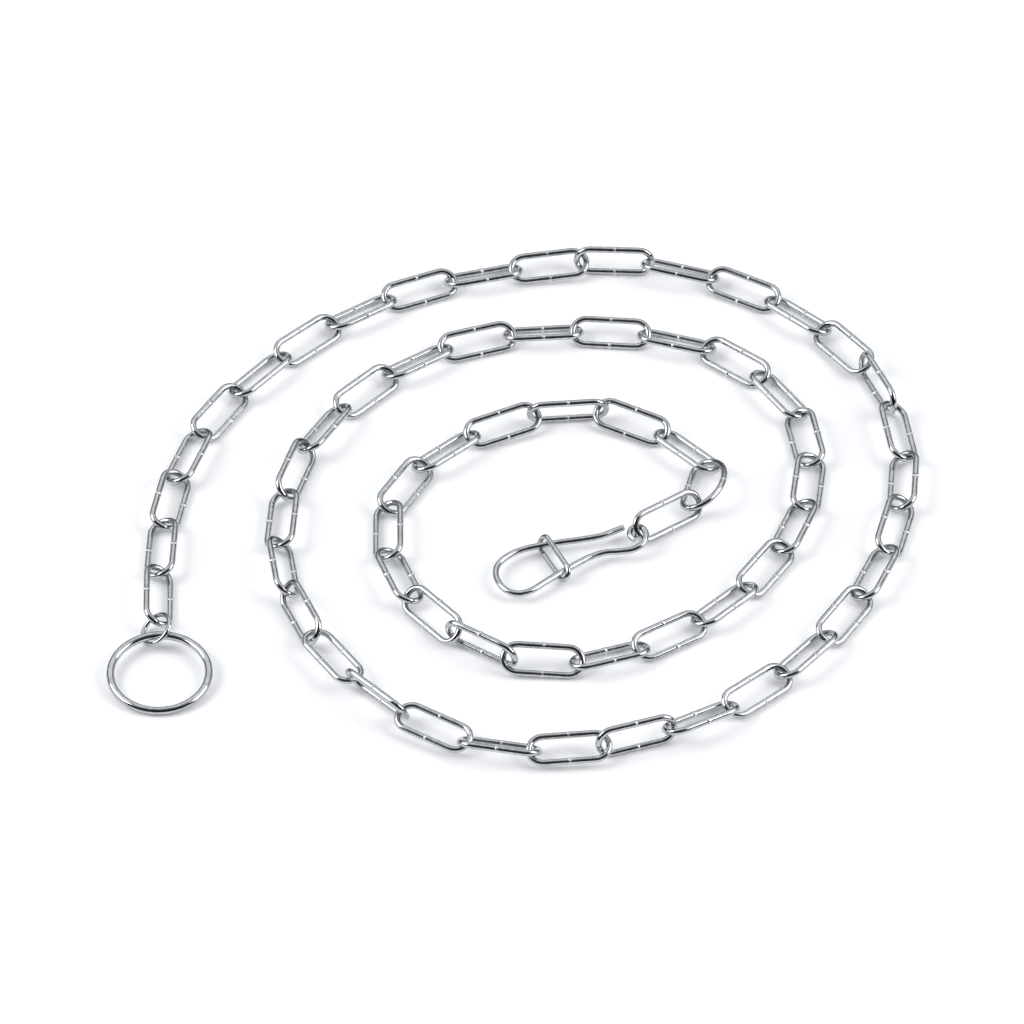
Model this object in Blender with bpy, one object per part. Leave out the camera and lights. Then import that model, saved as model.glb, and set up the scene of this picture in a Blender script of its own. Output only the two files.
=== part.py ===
"""Long-link steel tether chain, laid down in a flat spiral of three turns.

It runs from a big round end ring, through a small connecting ring and sixty-four welded oval
links, to a wire snap hook with a sliding keeper at the middle of the spiral.
Units are metres, +Z is up, +X runs along the widest way and +Y away from the usual viewer.
The origin is on the floor, under the middle of the chain's box.
"""
import math

import bmesh
import bpy
import numpy as np

MM = 0.001

# Links
LINK_WIRE = 3.0 * MM
LINK_LONG = 39.1 * MM
LINK_WIDE = 15.8 * MM
LINK_SIDES = 6
CROWN_STEPS = 6
LINK_GAP = 0.3 * MM
LINK_SAG = 0.4 * MM
FIRST_CROWN_BACK = 5.55 * MM
BEARING_OVERLAP = 0.4 * MM
SHORTEST_PITCH = 27.0 * MM
PITCH_STEP = 0.1 * MM
MOST_SLACK = 2.0 * MM
BENT_LINK = 63
BENT_LONG = 36.0 * MM
BENT_BOW = 11.8 * MM
BENT_TIP = 0.1 * MM

# The chain's route, in millimetres, from the end ring to the hook: two links to a step, and one
# to each of the last two
ROUTE_MM = [
    (-161, -73), (-161, -13), (-146, 48), (-108, 102), (-58, 142), (2, 162), (67, 164), (124, 141),
    (167, 92), (183, 33), (173, -29), (144, -85), (97, -132), (38, -158), (-25, -152), (-75, -111),
    (-104, -53), (-104, 12), (-77, 69), (-27, 109), (33, 119), (94, 107), (134, 63), (137, 5),
    (110, -52), (60, -93), (2, -104), (-46, -63), (-58, -2), (-20, 46), (43, 62), (93, 26),
    (85, -1), (58, -20),
]
ROUTE_STEPS = 20
LINKS_AT_POINTS = list(range(0, 63, 2)) + [63, 64]

# How far each link leans about its own length, in degrees, its left side up where positive
LEANS = [
    35, -24, 26, -24, 26, -24, 27, -24, 27, -24, 24, 84, -26, 26, -25, 27,
    83, -28, 30, -34, 26, -27, 27, -24, 27, -79, -20, 34, -14, 66, 6, -58,
    42, -24, 50, -33, 27, -26, 27, -24, 27, -24, 27, -24, 23, -23, 24, -24,
    24, -24, 22, -40, -98, -46, 23, -28, 26, -26, 26, -76, 30, -24, 25, -56,
]

# Links that bear on the next one and share its solid
BEARING_LINKS = [4, 13, 18, 28, 36, 44, 49, 56]

# Rings
END_RING_WIRE = 3.8 * MM
END_RING_OUTER = 48.4 * MM
END_RING_CENTRE = (-159.3 * MM, -108.6 * MM)
END_RING_TILT = 4.7
END_RING_STEPS = 32
SMALL_RING_WIRE = 2.2 * MM
SMALL_RING_OUTER = 17.6 * MM
SMALL_RING_CENTRE = (-161.7 * MM, -82.65 * MM)
SMALL_RING_TILT = 7.0
SMALL_RING_BANK = 36.5
SMALL_RING_STEPS = 20
RING_SIDES = 8

# Snap hook, drawn in its own level plane: along the hook, across it, and height
HOOK_WIRE = 3.0 * MM
HOOK_HEADING = 25.5
EYE_MIDDLE = (69.0 * MM, -4.6 * MM)
CROWN_IN_EYE = (-0.5 * MM, 1.0 * MM)
HOOK_LEVEL = 4.4 * MM
HOOK_ROUTE_MM = [
    (65.6, 3.9, 0.0), (60.0, 3.7, 0.0), (53.5, 3.5, 0.0), (44.5, 5.3, 0.0), (34.0, 8.0, 0.0),
    (26.0, 9.8, 0.0),
    (16.5, 10.9, 0.0), (9.5, 10.0, 0.0), (3.5, 7.2, 0.0), (0.0, 3.0, 0.0), (-1.6, -2.6, 0.0),
    (-1.0, -9.3, 0.0), (3.0, -14.2, 0.0), (9.2, -15.0, 0.0), (17.9, -12.7, 0.0), (27.8, -10.1, 0.0),
    (38.0, -7.8, 0.0), (44.5, -6.8, 0.0), (51.0, -7.2, 0.0), (56.6, -9.6, 0.4), (62.3, -11.9, 1.2),
    (67.9, -11.3, 2.0), (71.7, -7.3, 2.8), (71.9, -2.2, 2.8), (68.5, 0.1, 1.8), (65.8, -2.4, 1.1),
    (66.2, -6.6, 1.1),
]
HOOK_STEPS = 3
HOOK_SIDES = 8

# Sliding keeper of the hook
KEEPER_WIRE = 2.5 * MM
KEEPER_LONG = 29.8 * MM
KEEPER_WIDE = 9.6 * MM
KEEPER_ALONG = 28.0 * MM
KEEPER_ACROSS = -0.4 * MM
KEEPER_LEAN = 30.0

STEEL_COLOUR = (0.62, 0.63, 0.65, 1.0)
LINK_ROUGHNESS = 0.25
RING_ROUGHNESS = 0.2
HOOK_ROUGHNESS = 0.22
SHARP_EDGE = math.radians(50)
FINE_POINTS = 220


def clear_scene():
    """Take every object out of the scene."""
    for thing in list(bpy.data.objects):
        bpy.data.objects.remove(thing, do_unlink=True)


def steel(name, roughness):
    """Bright plated steel."""
    material = bpy.data.materials.new(name)
    material.use_nodes = True
    shader = material.node_tree.nodes["Principled BSDF"]
    shader.inputs["Base Color"].default_value = STEEL_COLOUR
    shader.inputs["Metallic"].default_value = 1.0
    shader.inputs["Roughness"].default_value = roughness
    return material


def smooth_curve(points, steps):
    """A Catmull-Rom curve through the points, with so many steps between two of them."""
    knots = np.array(points, float)
    knots = np.vstack([2 * knots[0] - knots[1], knots, 2 * knots[-1] - knots[-2]])
    curve = []
    for a, b, c, d in zip(knots, knots[1:], knots[2:], knots[3:]):
        for t in np.arange(steps) / steps:
            curve.append(0.5 * (2 * b + (c - a) * t + (2 * a - 5 * b + 4 * c - d) * t ** 2
                                + (3 * b - a - 3 * c + d) * t ** 3))
    curve.append(knots[-2])
    return np.array(curve)


def oval(length, width, crown_steps):
    """The centreline of an oval ring with straight sides, in its own plane, as x and y."""
    radius = width / 2
    straight = length / 2 - radius
    turns = np.linspace(-math.pi / 2, math.pi / 2, crown_steps + 1)
    crown = np.column_stack([straight + radius * np.cos(turns), radius * np.sin(turns)])
    return np.vstack([crown, -crown])


def facet_radius(wire, sides):
    """The corner radius that gives a faceted wire the section area of the round one."""
    return wire / 2 * math.sqrt(2 * math.pi / (sides * math.sin(2 * math.pi / sides)))


def sections(centres, across, normals, wire, sides, first_flat):
    """The corners of a faceted wire at each station of its centreline.

    across and normals span each section; first_flat is the angle of one flat's middle.
    """
    corner = facet_radius(wire, sides)
    angles = first_flat + math.pi / sides + 2 * math.pi * np.arange(sides) / sides
    return (centres[:, None]
            + corner * np.cos(angles)[None, :, None] * across[:, None]
            + corner * np.sin(angles)[None, :, None] * normals[:, None])


def flat_loop(path, along, width_way, wire, sides):
    """Sections of a closed loop that lies in one plane, with a flat under its lowest side."""
    normal = np.cross(along, width_way)
    following = np.roll(path, -1, axis=0)
    leading = np.roll(path, 1, axis=0)
    tangent = following - leading
    tangent /= np.linalg.norm(tangent, axis=1)[:, None]
    outward = np.column_stack([tangent[:, 1], -tangent[:, 0]])
    across = outward[:, :1] * along + outward[:, 1:] * width_way
    normals = np.repeat(normal[None], len(path), axis=0)
    low_way = -width_way if width_way[2] > 0 else width_way
    first_flat = math.atan2(-normal[2], -low_way[2])
    centres = path[:, :1] * along + path[:, 1:] * width_way
    return sections(centres, across, normals, wire, sides, first_flat)


def object_from(name, bm, material):
    """A named object with the mesh of bm."""
    bmesh.ops.recalc_face_normals(bm, faces=bm.faces)
    mesh = bpy.data.meshes.new(name)
    bm.to_mesh(mesh)
    bm.free()
    mesh.shade_smooth()
    mesh.set_sharp_from_angle(angle=SHARP_EDGE)
    mesh.materials.append(material)
    thing = bpy.data.objects.new(name, mesh)
    bpy.context.scene.collection.objects.link(thing)
    return thing


def wire_mesh(rings, closed):
    """Skin a row of sections, joined end to end where closed and capped where open."""
    bm = bmesh.new()
    rows = [[bm.verts.new(corner) for corner in ring] for ring in rings]
    pairs = list(zip(rows, rows[1:]))
    if closed:
        pairs.append((rows[-1], rows[0]))
    sides = len(rows[0])
    for here, there in pairs:
        for k in range(sides):
            bm.faces.new([here[k], here[(k + 1) % sides], there[(k + 1) % sides], there[k]])
    if not closed:
        bm.faces.new(rows[0][::-1])
        bm.faces.new(rows[-1])
    return bm


class Route:
    """The chain's route on the floor, measured along its length."""

    def __init__(self, points):
        self.curve = smooth_curve(points, ROUTE_STEPS)
        steps = np.linalg.norm(np.diff(self.curve, axis=0), axis=1)
        self.reach = np.concatenate([[0.0], np.cumsum(steps)])

    def middle_of(self, number):
        """How far along the route the middle of a link lies where its neighbours let it."""
        return np.interp(number - 0.5, LINKS_AT_POINTS, self.reach[::ROUTE_STEPS])

    def at(self, distance):
        """The place at a distance from the start; it runs on straight past both ends."""
        inside = min(max(distance, 0.0), self.reach[-1])
        place = np.array([np.interp(inside, self.reach, self.curve[:, k]) for k in range(2)])
        end = 0 if distance < 0 else -2
        step = self.curve[end + 1] - self.curve[end]
        return place + (distance - inside) * step / np.linalg.norm(step)


def link_outline(number):
    """The centreline of one link in its own plane; the bent one bows out on its left."""
    if number != BENT_LINK:
        return oval(LINK_LONG - LINK_WIRE, LINK_WIDE - LINK_WIRE, CROWN_STEPS)
    straight_half = oval(BENT_LONG - LINK_WIRE, LINK_WIDE - LINK_WIRE, CROWN_STEPS)
    straight_half = straight_half[straight_half[:, 1] < -BENT_TIP]
    turns = np.linspace(0, math.pi, 2 * CROWN_STEPS + 1)
    bowed_half = np.column_stack([(BENT_LONG - LINK_WIRE) / 2 * np.cos(turns), BENT_BOW * np.sin(turns)])
    right_to_left = straight_half[np.argsort(straight_half[:, 0])]
    return np.vstack([bowed_half, right_to_left])


def own_heights(leans):
    """How high the middle of a link is that leans on its own lower side."""
    flat_below = facet_radius(LINK_WIRE, LINK_SIDES) * math.cos(math.pi / LINK_SIDES)
    return flat_below + (LINK_WIDE - LINK_WIRE) / 2 * np.abs(np.sin(leans))


def middle_heights(leans):
    """How high each link's middle is: on its own lower side, or hung up on its steeper neighbours."""
    own = own_heights(leans)
    ends_too = np.concatenate([own[1:2], own, own[-2:-1]])
    return np.maximum(own, (ends_too[:-2] + ends_too[2:]) / 2 - LINK_SAG)


def lay_link(route, distance, lean, height, rise, outline):
    """Sections and centreline of a link whose middle is at a distance along the route."""
    half = (LINK_LONG - LINK_WIRE) / 2
    back, front = route.at(distance - half), route.at(distance + half)
    heading = math.atan2(*(front - back)[::-1])
    tilt = math.atan2(rise, 2 * half)
    along = np.array([math.cos(heading) * math.cos(tilt), math.sin(heading) * math.cos(tilt), math.sin(tilt)])
    left = np.array([-math.sin(heading), math.cos(heading), 0.0])
    width_way = math.cos(lean) * left + math.sin(lean) * np.cross(along, left)
    rings = flat_loop(outline, along, width_way, LINK_WIRE, LINK_SIDES)
    centres = outline[:, :1] * along + outline[:, 1:] * width_way
    middle = (back + front) / 2
    seat = np.array([middle[0], middle[1], max(height, -rings[..., 2].min())])
    return rings + seat, centres + seat


def fine(loop):
    """A closed line again, with many points evenly spread."""
    closed = np.vstack([loop, loop[:1]])
    reach = np.concatenate([[0.0], np.cumsum(np.linalg.norm(np.diff(closed, axis=0), axis=1))])
    spots = np.arange(FINE_POINTS) / FINE_POINTS * reach[-1]
    return np.column_stack([np.interp(spots, reach, closed[:, k]) for k in range(3)])


def closest(loop, other):
    """The shortest distance between two fine lines."""
    across = loop[:, None] - other[None]
    return math.sqrt(np.einsum("ijk,ijk->ij", across, across).min())


def lay_chain():
    """Each link in turn goes as near to its place on the route as its neighbour lets it, and a hung
    one as far as it can.
    """
    route = Route(np.array(ROUTE_MM) * MM)
    leans = np.radians(LEANS)
    heights = middle_heights(leans)
    ends_twice = np.concatenate([heights[:1], heights, heights[-1:]])
    rises = (ends_twice[2:] - ends_twice[:-2]) / 2
    distance = (LINK_LONG - LINK_WIRE) / 2 - FIRST_CROWN_BACK
    rings, centres = lay_link(route, distance, leans[0], heights[0], rises[0], link_outline(1))
    chain = [rings]
    for number in range(2, len(leans) + 1):
        lean, height, rise = leans[number - 1], heights[number - 1], rises[number - 1]
        before = fine(centres)
        bearing = (number - 1) in BEARING_LINKS
        room = LINK_WIRE + (-BEARING_OVERLAP if bearing else LINK_GAP)
        tight = LINK_LONG - LINK_WIRE - room
        hung = max(heights[number - 2:number] - own_heights(leans[number - 2:number])) > 0
        wanted = tight if bearing or hung else max(route.middle_of(number) - distance, tight - MOST_SLACK)
        pitches = np.arange(tight, SHORTEST_PITCH, -PITCH_STEP)
        for pitch in sorted(pitches, key=lambda choice: abs(choice - wanted)):
            rings, centres = lay_link(route, distance + pitch, lean, height, rise, link_outline(number))
            if closest(before, fine(centres)) >= room:
                break
        distance += pitch
        chain.append(rings)
    return chain


def round_ring(centre, outer, wire, tilt, bank, steps):
    """A round ring that leans: its far edge is up by tilt, and its right side by bank."""
    radius = (outer - wire) / 2
    turns = 2 * math.pi * np.arange(steps) / steps
    path = radius * np.column_stack([np.cos(turns), np.sin(turns)])
    along = np.array([math.cos(bank), 0.0, math.sin(bank)])
    far = np.array([0.0, math.cos(tilt), math.sin(tilt)])
    far -= far.dot(along) * along
    far /= np.linalg.norm(far)
    rings = flat_loop(path, along, far, wire, RING_SIDES)
    return rings + np.array([centre[0], centre[1], -rings[..., 2].min()])


def hook_axes():
    """The snap hook's own directions: along it towards its eye, across it and up."""
    heading = math.radians(HOOK_HEADING)
    along = np.array([math.cos(heading), math.sin(heading), 0.0])
    across = np.array([-along[1], along[0], 0.0])
    return along, across, np.array([0.0, 0.0, 1.0])


def hook_place(start, along_it, across_it, height):
    """A place given in the hook's own directions, from the place on the floor where it starts."""
    along, across, up = hook_axes()
    return start + along_it * along + across_it * across + (HOOK_LEVEL + height) * up


def hook_start(last_link):
    """Where the hook starts on the floor, so that the last link's front crown is in its eye."""
    along, across, up = hook_axes()
    crown = last_link.mean(axis=1)
    tip = crown[CROWN_STEPS // 2] * np.array([1.0, 1.0, 0.0])
    return tip - (EYE_MIDDLE[0] + CROWN_IN_EYE[0]) * along - (EYE_MIDDLE[1] + CROWN_IN_EYE[1]) * across


def hook_sections(start):
    """The snap hook's one bent wire, from the tip of its latch to the end of its eye."""
    curve = smooth_curve(np.array(HOOK_ROUTE_MM) * MM, HOOK_STEPS)
    centres = np.array([hook_place(start, *point) for point in curve])
    tangent = np.gradient(centres, axis=0)
    tangent /= np.linalg.norm(tangent, axis=1)[:, None]
    across = np.cross(tangent, [0.0, 0.0, 1.0])
    across /= np.linalg.norm(across, axis=1)[:, None]
    normals = np.cross(across, tangent)
    return sections(centres, across, normals, HOOK_WIRE, HOOK_SIDES, -math.pi / 2)


def keeper_sections(start):
    """The keeper, an oval wire loop round both legs of the hook, leaning towards its eye."""
    along, across, up = hook_axes()
    lean = math.radians(KEEPER_LEAN)
    height_way = math.cos(lean) * up + math.sin(lean) * along
    path = oval(KEEPER_LONG - KEEPER_WIRE, KEEPER_WIDE - KEEPER_WIRE, CROWN_STEPS)
    rings = flat_loop(path, across, height_way, KEEPER_WIRE, RING_SIDES)
    return rings + hook_place(start, KEEPER_ALONG, KEEPER_ACROSS, 0.0)


def build():
    """Make every piece, then bring the origin under the middle of them all."""
    clear_scene()
    link_steel = steel("link_steel", LINK_ROUGHNESS)
    ring_steel = steel("ring_steel", RING_ROUGHNESS)
    hook_steel = steel("hook_steel", HOOK_ROUGHNESS)
    chain = lay_chain()
    end_ring = round_ring(END_RING_CENTRE, END_RING_OUTER, END_RING_WIRE, math.radians(END_RING_TILT), 0.0,
                          END_RING_STEPS)
    small_ring = round_ring(SMALL_RING_CENTRE, SMALL_RING_OUTER, SMALL_RING_WIRE,
                            math.radians(SMALL_RING_TILT), math.radians(SMALL_RING_BANK), SMALL_RING_STEPS)
    start = hook_start(chain[-1])
    hook = hook_sections(start)
    keeper = keeper_sections(start)
    every = np.vstack([piece.reshape(-1, 3) for piece in chain + [end_ring, small_ring, hook, keeper]])
    middle = (every.min(axis=0) + every.max(axis=0)) / 2
    shift = np.array([middle[0], middle[1], every[:, 2].min()])
    object_from("end_ring", wire_mesh(end_ring - shift, True), ring_steel)
    object_from("connecting_ring", wire_mesh(small_ring - shift, True), ring_steel)
    object_from("snap_hook", wire_mesh(hook - shift, False), hook_steel)
    object_from("hook_keeper", wire_mesh(keeper - shift, True), hook_steel)
    number = 1
    while number <= len(chain):
        name = "link_%02d" % number
        if number in BEARING_LINKS:
            cutter = object_from(name + "_next", wire_mesh(chain[number] - shift, True), link_steel)
            cutter.hide_render = True
            cutter.display_type = 'WIRE'
            both = "link_%02d_%02d" % (number, number + 1)
            first = object_from(both, wire_mesh(chain[number - 1] - shift, True), link_steel)
            union = first.modifiers.new("bearing", 'BOOLEAN')
            union.operation = 'UNION'
            union.object = cutter
            number += 2
        else:
            object_from(name, wire_mesh(chain[number - 1] - shift, True), link_steel)
            number += 1


build()
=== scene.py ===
"""The looks of a long-link steel tether chain that lies in a flat spiral of three turns.

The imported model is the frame. Round wires with their welds replace its faceted ones, in the same
places. Units are metres, +Z is up and +Y away from the camera.
"""
import math
import random

import bmesh
import bpy
import numpy as np
from mathutils import Matrix, Vector


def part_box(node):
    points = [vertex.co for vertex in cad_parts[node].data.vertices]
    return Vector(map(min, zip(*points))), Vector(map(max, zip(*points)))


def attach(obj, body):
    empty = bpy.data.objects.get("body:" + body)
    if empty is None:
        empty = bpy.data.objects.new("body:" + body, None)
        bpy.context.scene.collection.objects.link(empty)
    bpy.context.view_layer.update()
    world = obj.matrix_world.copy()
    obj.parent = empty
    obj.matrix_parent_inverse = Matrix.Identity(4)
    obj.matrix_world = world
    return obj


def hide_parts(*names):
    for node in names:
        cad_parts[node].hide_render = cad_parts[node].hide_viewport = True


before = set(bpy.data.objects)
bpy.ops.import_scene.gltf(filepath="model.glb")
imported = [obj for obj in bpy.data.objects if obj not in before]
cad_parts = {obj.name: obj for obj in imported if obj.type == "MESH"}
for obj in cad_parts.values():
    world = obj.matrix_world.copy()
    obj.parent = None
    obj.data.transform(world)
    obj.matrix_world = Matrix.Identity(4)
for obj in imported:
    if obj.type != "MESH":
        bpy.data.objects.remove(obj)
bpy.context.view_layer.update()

MM = 0.001


# Links: sixty-four ovals of drawn steel wire, each bent cold and butt welded half way along its
# sides, then zinc plated. They lie one through the next along the spiral, as the part has them,
# and the last but one is bowed out of shape.

LINK_WIRE = 3.0 * MM
LINK_LONG = 39.1 * MM
LINK_WIDE = 15.8 * MM
LINK_SIDES = 6
CROWN_STEPS = 6
LINK_GAP = 0.3 * MM
LINK_SAG = 0.4 * MM
FIRST_CROWN_BACK = 5.55 * MM
BEARING_OVERLAP = 0.4 * MM
BENT_LINK = 63
BENT_LONG = 36.0 * MM
BENT_BOW = 11.8 * MM
BENT_TIP = 0.1 * MM
SHORTEST_PITCH = 27.0 * MM
PITCH_STEP = 0.1 * MM
MOST_SLACK = 2.0 * MM
ROUTE_MM = [
    (-161, -73), (-161, -13), (-146, 48), (-108, 102), (-58, 142), (2, 162), (67, 164), (124, 141),
    (167, 92), (183, 33), (173, -29), (144, -85), (97, -132), (38, -158), (-25, -152), (-75, -111),
    (-104, -53), (-104, 12), (-77, 69), (-27, 109), (33, 119), (94, 107), (134, 63), (137, 5),
    (110, -52), (60, -93), (2, -104), (-46, -63), (-58, -2), (-20, 46), (43, 62), (93, 26),
    (85, -1), (58, -20),
]
ROUTE_STEPS = 20
LINKS_AT_POINTS = list(range(0, 63, 2)) + [63, 64]
LEANS = [
    35, -24, 26, -24, 26, -24, 27, -24, 27, -24, 24, 84, -26, 26, -25, 27,
    83, -28, 30, -34, 26, -27, 27, -24, 27, -79, -20, 34, -14, 66, 6, -58,
    42, -24, 50, -33, 27, -26, 27, -24, 27, -24, 27, -24, 23, -23, 24, -24,
    24, -24, 22, -40, -98, -46, 23, -28, 26, -26, 26, -76, 30, -24, 25, -56,
]
BEARING_LINKS = [4, 13, 18, 28, 36, 44, 49, 56]


def smooth_curve(points, steps):
    """A Catmull-Rom curve through the points, with so many steps between two of them."""
    knots = np.array(points, float)
    knots = np.vstack([2 * knots[0] - knots[1], knots, 2 * knots[-1] - knots[-2]])
    curve = []
    for a, b, c, d in zip(knots, knots[1:], knots[2:], knots[3:]):
        for t in np.arange(steps) / steps:
            curve.append(0.5 * (2 * b + (c - a) * t + (2 * a - 5 * b + 4 * c - d) * t ** 2
                                + (3 * b - a - 3 * c + d) * t ** 3))
    curve.append(knots[-2])
    return np.array(curve)


def oval(length, width, crown_steps):
    """The centreline of an oval ring with straight sides, in its own plane, as x and y."""
    radius = width / 2
    straight = length / 2 - radius
    turns = np.linspace(-math.pi / 2, math.pi / 2, crown_steps + 1)
    crown = np.column_stack([straight + radius * np.cos(turns), radius * np.sin(turns)])
    return np.vstack([crown, -crown])


def link_outline(number):
    """The centreline of one link in its own plane; the bent one bows out on its left."""
    if number != BENT_LINK:
        return oval(LINK_LONG - LINK_WIRE, LINK_WIDE - LINK_WIRE, CROWN_STEPS)
    straight_half = oval(BENT_LONG - LINK_WIRE, LINK_WIDE - LINK_WIRE, CROWN_STEPS)
    straight_half = straight_half[straight_half[:, 1] < -BENT_TIP]
    turns = np.linspace(0, math.pi, 2 * CROWN_STEPS + 1)
    bowed_half = np.column_stack([(BENT_LONG - LINK_WIRE) / 2 * np.cos(turns), BENT_BOW * np.sin(turns)])
    right_to_left = straight_half[np.argsort(straight_half[:, 0])]
    return np.vstack([bowed_half, right_to_left])


class Route:
    """The chain's route on the floor, measured along its length."""

    def __init__(self, points):
        self.curve = smooth_curve(points, ROUTE_STEPS)
        steps = np.linalg.norm(np.diff(self.curve, axis=0), axis=1)
        self.reach = np.concatenate([[0.0], np.cumsum(steps)])

    def middle_of(self, number):
        """How far along the route the middle of a link would lie by the route's own steps."""
        return np.interp(number - 0.5, LINKS_AT_POINTS, self.reach[::ROUTE_STEPS])

    def at(self, distance):
        """The place at a distance from the start; it runs on straight past both ends."""
        inside = min(max(distance, 0.0), self.reach[-1])
        place = np.array([np.interp(inside, self.reach, self.curve[:, k]) for k in range(2)])
        end = 0 if distance < 0 else -2
        step = self.curve[end + 1] - self.curve[end]
        return place + (distance - inside) * step / np.linalg.norm(step)


def facet_radius(wire, sides):
    """The corner radius that gives a faceted wire the section area of the round one."""
    return wire / 2 * math.sqrt(2 * math.pi / (sides * math.sin(2 * math.pi / sides)))


FLAT_BELOW = facet_radius(LINK_WIRE, LINK_SIDES) * math.cos(math.pi / LINK_SIDES)


def own_heights(leans):
    """How high the middle of a link is that leans on its own lower side."""
    return FLAT_BELOW + (LINK_WIDE - LINK_WIRE) / 2 * np.abs(np.sin(leans))


def middle_heights(leans):
    """How high each link's middle is: on its own lower side, or hung up on its steeper neighbours."""
    own = own_heights(leans)
    ends_too = np.concatenate([own[1:2], own, own[-2:-1]])
    return np.maximum(own, (ends_too[:-2] + ends_too[2:]) / 2 - LINK_SAG)


class Lie:
    """How one link lies: its middle, and the directions along it and across it."""

    def __init__(self, route, distance, lean, height, rise):
        half = (LINK_LONG - LINK_WIRE) / 2
        back, front = route.at(distance - half), route.at(distance + half)
        heading = math.atan2(*(front - back)[::-1])
        tilt = math.atan2(rise, 2 * half)
        level = np.array([math.cos(heading), math.sin(heading), 0.0])
        self.along = math.cos(tilt) * level + np.array([0.0, 0.0, math.sin(tilt)])
        left = np.array([-math.sin(heading), math.cos(heading), 0.0])
        self.across = math.cos(lean) * left + math.sin(lean) * np.cross(self.along, left)
        self.middle = np.append((back + front) / 2, 0.0)
        self.height = height

    def line(self, outline):
        """An outline of the link's own plane, put where the part's faceted link lies or hangs."""
        centres = outline[:, :1] * self.along + outline[:, 1:] * self.across + self.middle
        centres[:, 2] += max(self.height, FLAT_BELOW - centres[:, 2].min())
        return centres

    def round_line(self, outline):
        """The same outline, higher by what a round wire needs to stand on the floor."""
        return self.line(outline) + np.array([0.0, 0.0, LINK_WIRE / 2 - FLAT_BELOW])


FINE_POINTS = 220


def fine(loop, count=FINE_POINTS):
    """A closed line with so many points, evenly spread."""
    closed = np.vstack([loop, loop[:1]])
    reach = np.concatenate([[0.0], np.cumsum(np.linalg.norm(np.diff(closed, axis=0), axis=1))])
    spots = np.arange(count) / count * reach[-1]
    return np.column_stack([np.interp(spots, reach, closed[:, k]) for k in range(3)])


def closest(loop, other):
    """The shortest distance between two fine lines."""
    across = loop[:, None] - other[None]
    return math.sqrt(np.einsum("ijk,ijk->ij", across, across).min())


def lay_chain():
    """Each link in turn goes as near to its place on the route as its neighbour lets it, and a hung
    one as far as it can.
    """
    route = Route(np.array(ROUTE_MM) * MM)
    leans = np.radians(LEANS)
    heights = middle_heights(leans)
    ends_twice = np.concatenate([heights[:1], heights, heights[-1:]])
    rises = (ends_twice[2:] - ends_twice[:-2]) / 2
    distance = (LINK_LONG - LINK_WIRE) / 2 - FIRST_CROWN_BACK
    lies = [Lie(route, distance, leans[0], heights[0], rises[0])]
    for number in range(2, len(leans) + 1):
        before = fine(lies[-1].line(link_outline(number - 1)))
        bearing = (number - 1) in BEARING_LINKS
        room = LINK_WIRE + (-BEARING_OVERLAP if bearing else LINK_GAP)
        tight = LINK_LONG - LINK_WIRE - room
        hung = max(heights[number - 2:number] - own_heights(leans[number - 2:number])) > 0
        wanted = tight if bearing or hung else max(route.middle_of(number) - distance, tight - MOST_SLACK)
        pitches = np.arange(tight, SHORTEST_PITCH, -PITCH_STEP)
        for pitch in sorted(pitches, key=lambda choice: abs(choice - wanted)):
            lie = Lie(route, distance + pitch, leans[number - 1], heights[number - 1], rises[number - 1])
            if closest(before, fine(lie.line(link_outline(number)))) >= room:
                break
        distance += pitch
        lies.append(lie)
    return lies


lies = lay_chain()

END_RING_CENTRE = (-159.3 * MM, -108.6 * MM)
ring_low, ring_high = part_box("end_ring")
SHIFT = np.array([END_RING_CENTRE[0] - (ring_low[0] + ring_high[0]) / 2,
                  END_RING_CENTRE[1] - (ring_low[1] + ring_high[1]) / 2, 0.0])

WIRE_SIDES = 20
MERGE_WITHIN = 0.01 * MM
SHARP_END = math.radians(50)


def section_places(centres, radii, closed):
    """A matrix for each station that brings a unit circle to the wire's section there."""
    if closed:
        tangents = np.roll(centres, -1, axis=0) - np.roll(centres, 1, axis=0)
        level = np.linalg.svd(centres - centres.mean(axis=0), full_matrices=False)[2][2]
    else:
        tangents = np.gradient(centres, axis=0)
        level = np.array([0.0, 0.0, 1.0])
    places = []
    for centre, tangent, radius in zip(centres - SHIFT, tangents, radii):
        forward = tangent / np.linalg.norm(tangent)
        side = np.cross(forward, level)
        side /= np.linalg.norm(side)
        turned = np.column_stack([side, np.cross(forward, side), forward]) * radius
        place = Matrix(turned.tolist()).to_4x4()
        place.translation = Vector(centre)
        places.append(place)
    return places


def draw_wire(name, centres, radii, closed):
    """Draw a round wire through a line of stations, with its own radius at each."""
    places = section_places(centres, radii, closed)
    swells = (radii / radii.min() - 1).tolist()
    bm = bmesh.new()
    weld = bm.verts.layers.float.new("weld")
    bmesh.ops.create_circle(bm, cap_ends=not closed, segments=WIRE_SIDES, radius=1.0, matrix=places[0])
    rim = list(bm.edges)
    following = places[1:] + places[:1] if closed else places[1:]
    for here, there, swell in zip(places, following, swells[1:] + swells[:1]):
        drawn = bmesh.ops.extrude_edge_only(bm, edges=rim)["geom"]
        rim = [edge for edge in drawn if isinstance(edge, bmesh.types.BMEdge)]
        corners = [corner for corner in drawn if isinstance(corner, bmesh.types.BMVert)]
        bmesh.ops.transform(bm, matrix=there @ here.inverted(), verts=corners)
        for corner in corners:
            corner[weld] = swell
    if closed:
        bmesh.ops.remove_doubles(bm, verts=bm.verts, dist=MERGE_WITHIN)
    else:
        bmesh.ops.contextual_create(bm, geom=rim)
    bmesh.ops.recalc_face_normals(bm, faces=bm.faces)
    mesh = bpy.data.meshes.new(name)
    bm.to_mesh(mesh)
    bm.free()
    mesh.shade_smooth()
    mesh.set_sharp_from_angle(angle=SHARP_END)
    piece = bpy.data.objects.new(name, mesh)
    bpy.context.scene.collection.objects.link(piece)
    return piece


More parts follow.
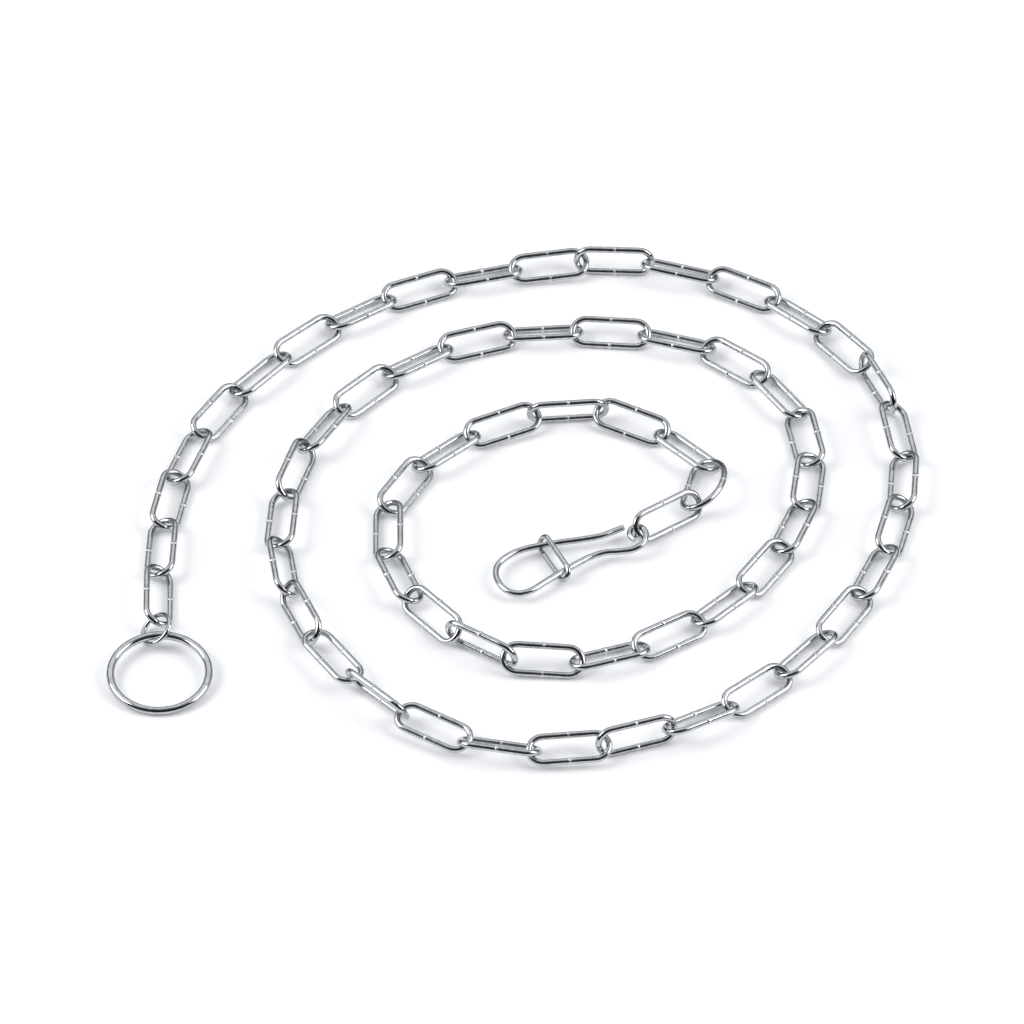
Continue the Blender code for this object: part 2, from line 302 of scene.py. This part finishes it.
MOTTLE_SCALE = 420.0
MOTTLE_DETAIL = 5.0
DARK_STEEL = (0.42, 0.43, 0.445, 1.0)
PALE_STEEL = (0.56, 0.57, 0.585, 1.0)
DARK_UP_TO, PALE_FROM = 0.3, 0.6
SLEEKEST, DULLEST = 0.7, 1.5
SCALE_FULL_AT = 0.06
WELD_SCALE = (0.7, 0.71, 0.73, 1.0)
WELD_ROUGHNESS = 0.4
MARKS_SCALE = 2600.0
MARKS_DETAIL = 3.0
MARKS_STRENGTH = 0.25
MARKS_DEEP = 0.02 * MM


def plated_steel(name, roughness):
    """Polished metal with a mottled sheen and fine marks, paler and duller on a weld's bead."""
    material = bpy.data.materials.new(name)
    material.use_nodes = True
    nodes, links = material.node_tree.nodes, material.node_tree.links
    shader = nodes["Principled BSDF"]
    shader.inputs["Metallic"].default_value = 1.0
    place = nodes.new("ShaderNodeTexCoord")
    mottle = nodes.new("ShaderNodeTexNoise")
    mottle.inputs["Scale"].default_value = MOTTLE_SCALE
    mottle.inputs["Detail"].default_value = MOTTLE_DETAIL
    links.new(place.outputs["Object"], mottle.inputs["Vector"])
    tint = nodes.new("ShaderNodeValToRGB")
    dark, pale = tint.color_ramp.elements
    dark.position, pale.position = DARK_UP_TO, PALE_FROM
    dark.color, pale.color = DARK_STEEL, PALE_STEEL
    links.new(mottle.outputs["Fac"], tint.inputs["Fac"])
    weld = nodes.new("ShaderNodeAttribute")
    weld.attribute_name = "weld"
    scale = nodes.new("ShaderNodeMapRange")
    scale.inputs["From Max"].default_value = SCALE_FULL_AT
    links.new(weld.outputs["Fac"], scale.inputs["Value"])
    colour = nodes.new("ShaderNodeMix")
    colour.data_type = 'RGBA'
    colour.inputs[7].default_value = WELD_SCALE
    links.new(scale.outputs["Result"], colour.inputs["Factor"])
    links.new(tint.outputs["Color"], colour.inputs[6])
    links.new(colour.outputs[2], shader.inputs["Base Color"])
    sheen = nodes.new("ShaderNodeMapRange")
    sheen.inputs["To Min"].default_value = roughness * SLEEKEST
    sheen.inputs["To Max"].default_value = roughness * DULLEST
    links.new(mottle.outputs["Fac"], sheen.inputs["Value"])
    dull = nodes.new("ShaderNodeMix")
    dull.inputs[3].default_value = WELD_ROUGHNESS
    links.new(scale.outputs["Result"], dull.inputs["Factor"])
    links.new(sheen.outputs["Result"], dull.inputs[2])
    links.new(dull.outputs[0], shader.inputs["Roughness"])
    marks = nodes.new("ShaderNodeTexNoise")
    marks.inputs["Scale"].default_value = MARKS_SCALE
    marks.inputs["Detail"].default_value = MARKS_DETAIL
    links.new(place.outputs["Object"], marks.inputs["Vector"])
    bump = nodes.new("ShaderNodeBump")
    bump.inputs["Strength"].default_value = MARKS_STRENGTH
    bump.inputs["Distance"].default_value = MARKS_DEEP
    links.new(marks.outputs["Fac"], bump.inputs["Height"])
    links.new(bump.outputs["Normal"], shader.inputs["Normal"])
    return material


LINK_ROUGHNESS = 0.14
link_zinc = plated_steel("link_zinc_plating", LINK_ROUGHNESS)

ROUND_CROWN_STEPS = 14
SIDE_STATIONS = 5
BESIDE_WELD = 2.5 * MM
WELD_HALF_LONG = 0.5 * MM
WELD_OFF_MIDDLE = 0.3 * MM
WELD_STATIONS = np.array([-1.5, -1.0, -0.75, -0.5, -0.2, 0.0, 0.2, 0.5, 0.75, 1.0, 1.5]) * MM
LOW_BEAD, HIGH_BEAD = 0.08, 0.15
WELD_SEED = 11
random.seed(WELD_SEED)


def fine_outline(number):
    """The link's outline again, with stations close enough for a smooth wire and its welds."""
    bent = number == BENT_LINK
    length = (BENT_LONG if bent else LINK_LONG) - LINK_WIRE
    half_wide = (LINK_WIDE - LINK_WIRE) / 2
    straight = length / 2 - half_wide
    beside = np.linspace(BESIDE_WELD, straight, SIDE_STATIONS)[:-1]
    spots = np.concatenate([-beside[::-1], WELD_STATIONS, beside])
    side = np.column_stack([spots, np.full(len(spots), -half_wide)])
    if not bent:
        crowns = oval(length, 2 * half_wide, ROUND_CROWN_STEPS)
        half = ROUND_CROWN_STEPS + 1
        return np.vstack([crowns[:half], -side, crowns[half:], side])
    turns = np.linspace(0, math.pi, 4 * ROUND_CROWN_STEPS)
    bow = np.column_stack([length / 2 * np.cos(turns), BENT_BOW * np.sin(turns)])
    corner = np.linspace(0, math.pi / 2, ROUND_CROWN_STEPS)[1:]
    left_corner = np.column_stack([-straight - half_wide * np.cos(corner), -half_wide * np.sin(corner)])
    right_corner = left_corner[::-1] * [-1, 1]
    return np.vstack([bow, left_corner, side, right_corner])


def weld_swell(outline):
    """How much wider than the wire each station is: each side has its own flat-topped bead."""
    swell = np.ones(len(outline))
    for side in (1, -1):
        off = random.uniform(-WELD_OFF_MIDDLE, WELD_OFF_MIDDLE)
        height = random.uniform(LOW_BEAD, HIGH_BEAD)
        near = np.sign(outline[:, 1]) == side
        bead = height * np.exp(-((outline[:, 0] - off) / WELD_HALF_LONG) ** 4)
        swell += np.where(near, bead, 0.0)
    return swell


def node_of(number):
    """The part's node that holds a link: its own, or the one that two bearing links share."""
    for first in (number, number - 1):
        if first in BEARING_LINKS:
            return "link_%02d_%02d" % (first, first + 1)
    return "link_%02d" % number


for number, lie in enumerate(lies, 1):
    outline = fine_outline(number)
    name = "link_%02d_wire" % number
    link = draw_wire(name, lie.round_line(outline), LINK_WIRE / 2 * weld_swell(outline), True)
    link.data.materials.append(link_zinc)
    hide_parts(node_of(number))
    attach(link, "chain")


# Rings: a big one that the end of the tether is made fast to, and the small one that joins it to the
# first link. Both are round steel wire, welded, ground flush and polished before plating.

END_RING_WIRE = 3.8 * MM
END_RING_OUTER = 48.4 * MM
END_RING_TILT = 4.7
END_RING_STATIONS = 96
SMALL_RING_WIRE = 2.2 * MM
SMALL_RING_OUTER = 17.6 * MM
SMALL_RING_CENTRE = (-161.7 * MM, -82.65 * MM)
SMALL_RING_TILT = 7.0
SMALL_RING_BANK = 36.5
SMALL_RING_STATIONS = 64
RING_ROUGHNESS = 0.11


def ring_line(centre, outer, wire, tilt, bank, steps):
    """The centreline of a round ring that leans, seated on the floor."""
    radius = (outer - wire) / 2
    turns = 2 * math.pi * np.arange(steps) / steps
    along = np.array([math.cos(bank), 0.0, math.sin(bank)])
    far = np.array([0.0, math.cos(tilt), math.sin(tilt)])
    far -= far.dot(along) * along
    far /= np.linalg.norm(far)
    line = radius * (np.cos(turns)[:, None] * along + np.sin(turns)[:, None] * far)
    return line + np.array([centre[0], centre[1], wire / 2 - line[:, 2].min()])


ring_polish = plated_steel("ring_polished_plating", RING_ROUGHNESS)


def add_ring(node, centre, outer, wire, tilt, bank, steps):
    """A ring of round wire in place of its node."""
    line = ring_line(centre, outer, wire, math.radians(tilt), math.radians(bank), steps)
    ring = draw_wire(node + "_wire", line, np.full(steps, wire / 2), True)
    ring.data.materials.append(ring_polish)
    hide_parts(node)
    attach(ring, "chain")


add_ring("end_ring", END_RING_CENTRE, END_RING_OUTER, END_RING_WIRE, END_RING_TILT, 0.0,
         END_RING_STATIONS)
add_ring("connecting_ring", SMALL_RING_CENTRE, SMALL_RING_OUTER, SMALL_RING_WIRE, SMALL_RING_TILT,
         SMALL_RING_BANK, SMALL_RING_STATIONS)


# Snap hook: one springy steel wire, zinc plated and bent cold into an open nose, two legs that narrow
# to a waist, and an eye closed round the last link. It is drawn in its own level plane, along it,
# across it and up.

HOOK_WIRE = 3.0 * MM
HOOK_HEADING = 25.5
EYE_MIDDLE = (69.0 * MM, -4.6 * MM)
CROWN_IN_EYE = (-0.5 * MM, 1.0 * MM)
HOOK_LEVEL = 4.4 * MM
HOOK_STATIONS = 12
HOOK_ROUGHNESS = 0.12
HOOK_ROUTE_MM = [
    (65.6, 3.9, 0.0), (60.0, 3.7, 0.0), (53.5, 3.5, 0.0), (44.5, 5.3, 0.0), (34.0, 8.0, 0.0),
    (26.0, 9.8, 0.0),
    (16.5, 10.9, 0.0), (9.5, 10.0, 0.0), (3.5, 7.2, 0.0), (0.0, 3.0, 0.0), (-1.6, -2.6, 0.0),
    (-1.0, -9.3, 0.0), (3.0, -14.2, 0.0), (9.2, -15.0, 0.0), (17.9, -12.7, 0.0), (27.8, -10.1, 0.0),
    (38.0, -7.8, 0.0), (44.5, -6.8, 0.0), (51.0, -7.2, 0.0), (56.6, -9.6, 0.4), (62.3, -11.9, 1.2),
    (67.9, -11.3, 2.0), (71.7, -7.3, 2.8), (71.9, -2.2, 2.8), (68.5, 0.1, 1.8), (65.8, -2.4, 1.1),
    (66.2, -6.6, 1.1),
]

heading = math.radians(HOOK_HEADING)
hook_along = np.array([math.cos(heading), math.sin(heading), 0.0])
hook_across = np.array([-hook_along[1], hook_along[0], 0.0])
up = np.array([0.0, 0.0, 1.0])
last_crown = lies[-1].line(link_outline(len(lies)))[CROWN_STEPS // 2] * np.array([1.0, 1.0, 0.0])
hook_start = (last_crown - (EYE_MIDDLE[0] + CROWN_IN_EYE[0]) * hook_along
              - (EYE_MIDDLE[1] + CROWN_IN_EYE[1]) * hook_across)

hook_points = smooth_curve(np.array(HOOK_ROUTE_MM) * MM, HOOK_STATIONS)
hook_line = (hook_start + hook_points[:, :1] * hook_along + hook_points[:, 1:2] * hook_across
             + (HOOK_LEVEL + hook_points[:, 2:]) * up)
hook_zinc = plated_steel("hook_zinc_plating", HOOK_ROUGHNESS)
hook = draw_wire("snap_hook_wire", hook_line, np.full(len(hook_line), HOOK_WIRE / 2), False)
hook.data.materials.append(hook_zinc)
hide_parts("snap_hook")
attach(hook, "chain")


# Keeper: a thinner steel wire, bent cold into a closed loop round both legs of the hook and plated
# like it. It slides along them to hold the nose shut, and leans towards the eye.

KEEPER_WIRE = 2.5 * MM
KEEPER_LONG = 29.8 * MM
KEEPER_WIDE = 9.6 * MM
KEEPER_ALONG = 28.0 * MM
KEEPER_ACROSS = -0.4 * MM
KEEPER_LEAN = 30.0
KEEPER_STATIONS = 96

lean = math.radians(KEEPER_LEAN)
height_way = math.cos(lean) * up + math.sin(lean) * hook_along
keeper_path = oval(KEEPER_LONG - KEEPER_WIRE, KEEPER_WIDE - KEEPER_WIRE, ROUND_CROWN_STEPS)
keeper_middle = hook_start + KEEPER_ALONG * hook_along + KEEPER_ACROSS * hook_across + HOOK_LEVEL * up
keeper_line = keeper_middle + keeper_path[:, :1] * hook_across + keeper_path[:, 1:] * height_way
keeper_radii = np.full(KEEPER_STATIONS, KEEPER_WIRE / 2)
keeper = draw_wire("hook_keeper_wire", fine(keeper_line, KEEPER_STATIONS), keeper_radii, True)
keeper.data.materials.append(hook_zinc)
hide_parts("hook_keeper")
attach(keeper, "keeper")


# Studio: a white floor between two square panels of light, under a sky that is pale grey overhead and
# behind and dark towards the viewer. A camera with a long lens looks down at it.

CAMERA_RISE = math.radians(44.0)
CAMERA_FAR = 3.426
CAMERA_LENS = 260.16
SENSOR_WIDE = 36.0
camera_data = bpy.data.cameras.new("camera")
camera_data.lens = CAMERA_LENS
camera_data.sensor_width = SENSOR_WIDE
camera = bpy.data.objects.new("camera", camera_data)
bpy.context.scene.collection.objects.link(camera)
camera.location = (-SHIFT[0], -SHIFT[1] - CAMERA_FAR * math.cos(CAMERA_RISE),
                   CAMERA_FAR * math.sin(CAMERA_RISE))
camera.rotation_euler = (math.pi / 2 - CAMERA_RISE, 0.0, 0.0)
bpy.context.scene.camera = camera
bpy.context.scene.view_settings.view_transform = 'Standard'

world = bpy.data.worlds.new("studio")
bpy.context.scene.world = world
world.use_nodes = True
nodes, links = world.node_tree.nodes, world.node_tree.links
direction = nodes.new("ShaderNodeTexCoord")
split = nodes.new("ShaderNodeSeparateXYZ")
links.new(direction.outputs["Generated"], split.inputs["Vector"])


SKY_RED, SKY_GREEN = 0.97, 0.985


def grey_ramp(socket, steps):
    """A ramp of slightly cool greys over a socket's value."""
    ramp = nodes.new("ShaderNodeValToRGB")
    while len(ramp.color_ramp.elements) < len(steps):
        ramp.color_ramp.elements.new(0.5)
    for element, (place, grey) in zip(ramp.color_ramp.elements, steps):
        element.position = place
        element.color = (grey * SKY_RED, grey * SKY_GREEN, grey, 1.0)
    links.new(socket, ramp.inputs["Fac"])
    return ramp.outputs["Color"]


SKY_BY_HEIGHT = [(0.0, 0.02), (0.25, 0.06), (0.5, 0.42), (0.66, 0.78), (0.85, 0.72), (0.98, 0.62)]
SKY_BY_DEPTH = [(0.0, 0.03), (0.3, 0.06), (0.45, 0.35), (0.58, 1.0)]
back_of = nodes.new("ShaderNodeMapRange")
back_of.inputs["From Min"].default_value = -1.0
links.new(split.outputs["Y"], back_of.inputs["Value"])
both = nodes.new("ShaderNodeVectorMath")
both.operation = 'MULTIPLY'
links.new(grey_ramp(split.outputs["Z"], SKY_BY_HEIGHT), both.inputs[0])
links.new(grey_ramp(back_of.outputs["Result"], SKY_BY_DEPTH), both.inputs[1])
links.new(both.outputs["Vector"], nodes["Background"].inputs["Color"])
SKY_STRENGTH = 1.5
nodes["Background"].inputs["Strength"].default_value = SKY_STRENGTH


PANEL_WIDE = 1.3


def panel(name, where, watts):
    """A square panel of light that faces the middle of the floor."""
    data = bpy.data.lights.new(name, 'AREA')
    data.shape = 'SQUARE'
    data.size = PANEL_WIDE
    data.energy = watts
    lamp = bpy.data.objects.new(name, data)
    bpy.context.scene.collection.objects.link(lamp)
    lamp.location = where
    lamp.rotation_euler = (-Vector(where)).to_track_quat('-Z', 'Y').to_euler()


panel("left_panel", where=(-1.7, -0.1, 1.25), watts=24.0)
panel("right_panel", where=(1.7, -0.2, 1.15), watts=21.0)

FLOOR_HALF = 6.0
FLOOR_WHITE = (0.93, 0.93, 0.94, 1.0)
FLOOR_ROUGHNESS = 0.9
GLOW_WHITE = (0.98, 0.99, 1.0, 1.0)
FLOOR_GLOW = 0.15
bm = bmesh.new()
bmesh.ops.create_grid(bm, x_segments=1, y_segments=1, size=FLOOR_HALF)
floor_mesh = bpy.data.meshes.new("floor")
bm.to_mesh(floor_mesh)
bm.free()
floor = bpy.data.objects.new("floor", floor_mesh)
bpy.context.scene.collection.objects.link(floor)
floor_paint = bpy.data.materials.new("floor_paint")
floor_paint.use_nodes = True
paint = floor_paint.node_tree.nodes["Principled BSDF"]
paint.inputs["Base Color"].default_value = FLOOR_WHITE
paint.inputs["Roughness"].default_value = FLOOR_ROUGHNESS
paint.inputs["Emission Color"].default_value = GLOW_WHITE
paint.inputs["Emission Strength"].default_value = FLOOR_GLOW
floor_mesh.materials.append(floor_paint)
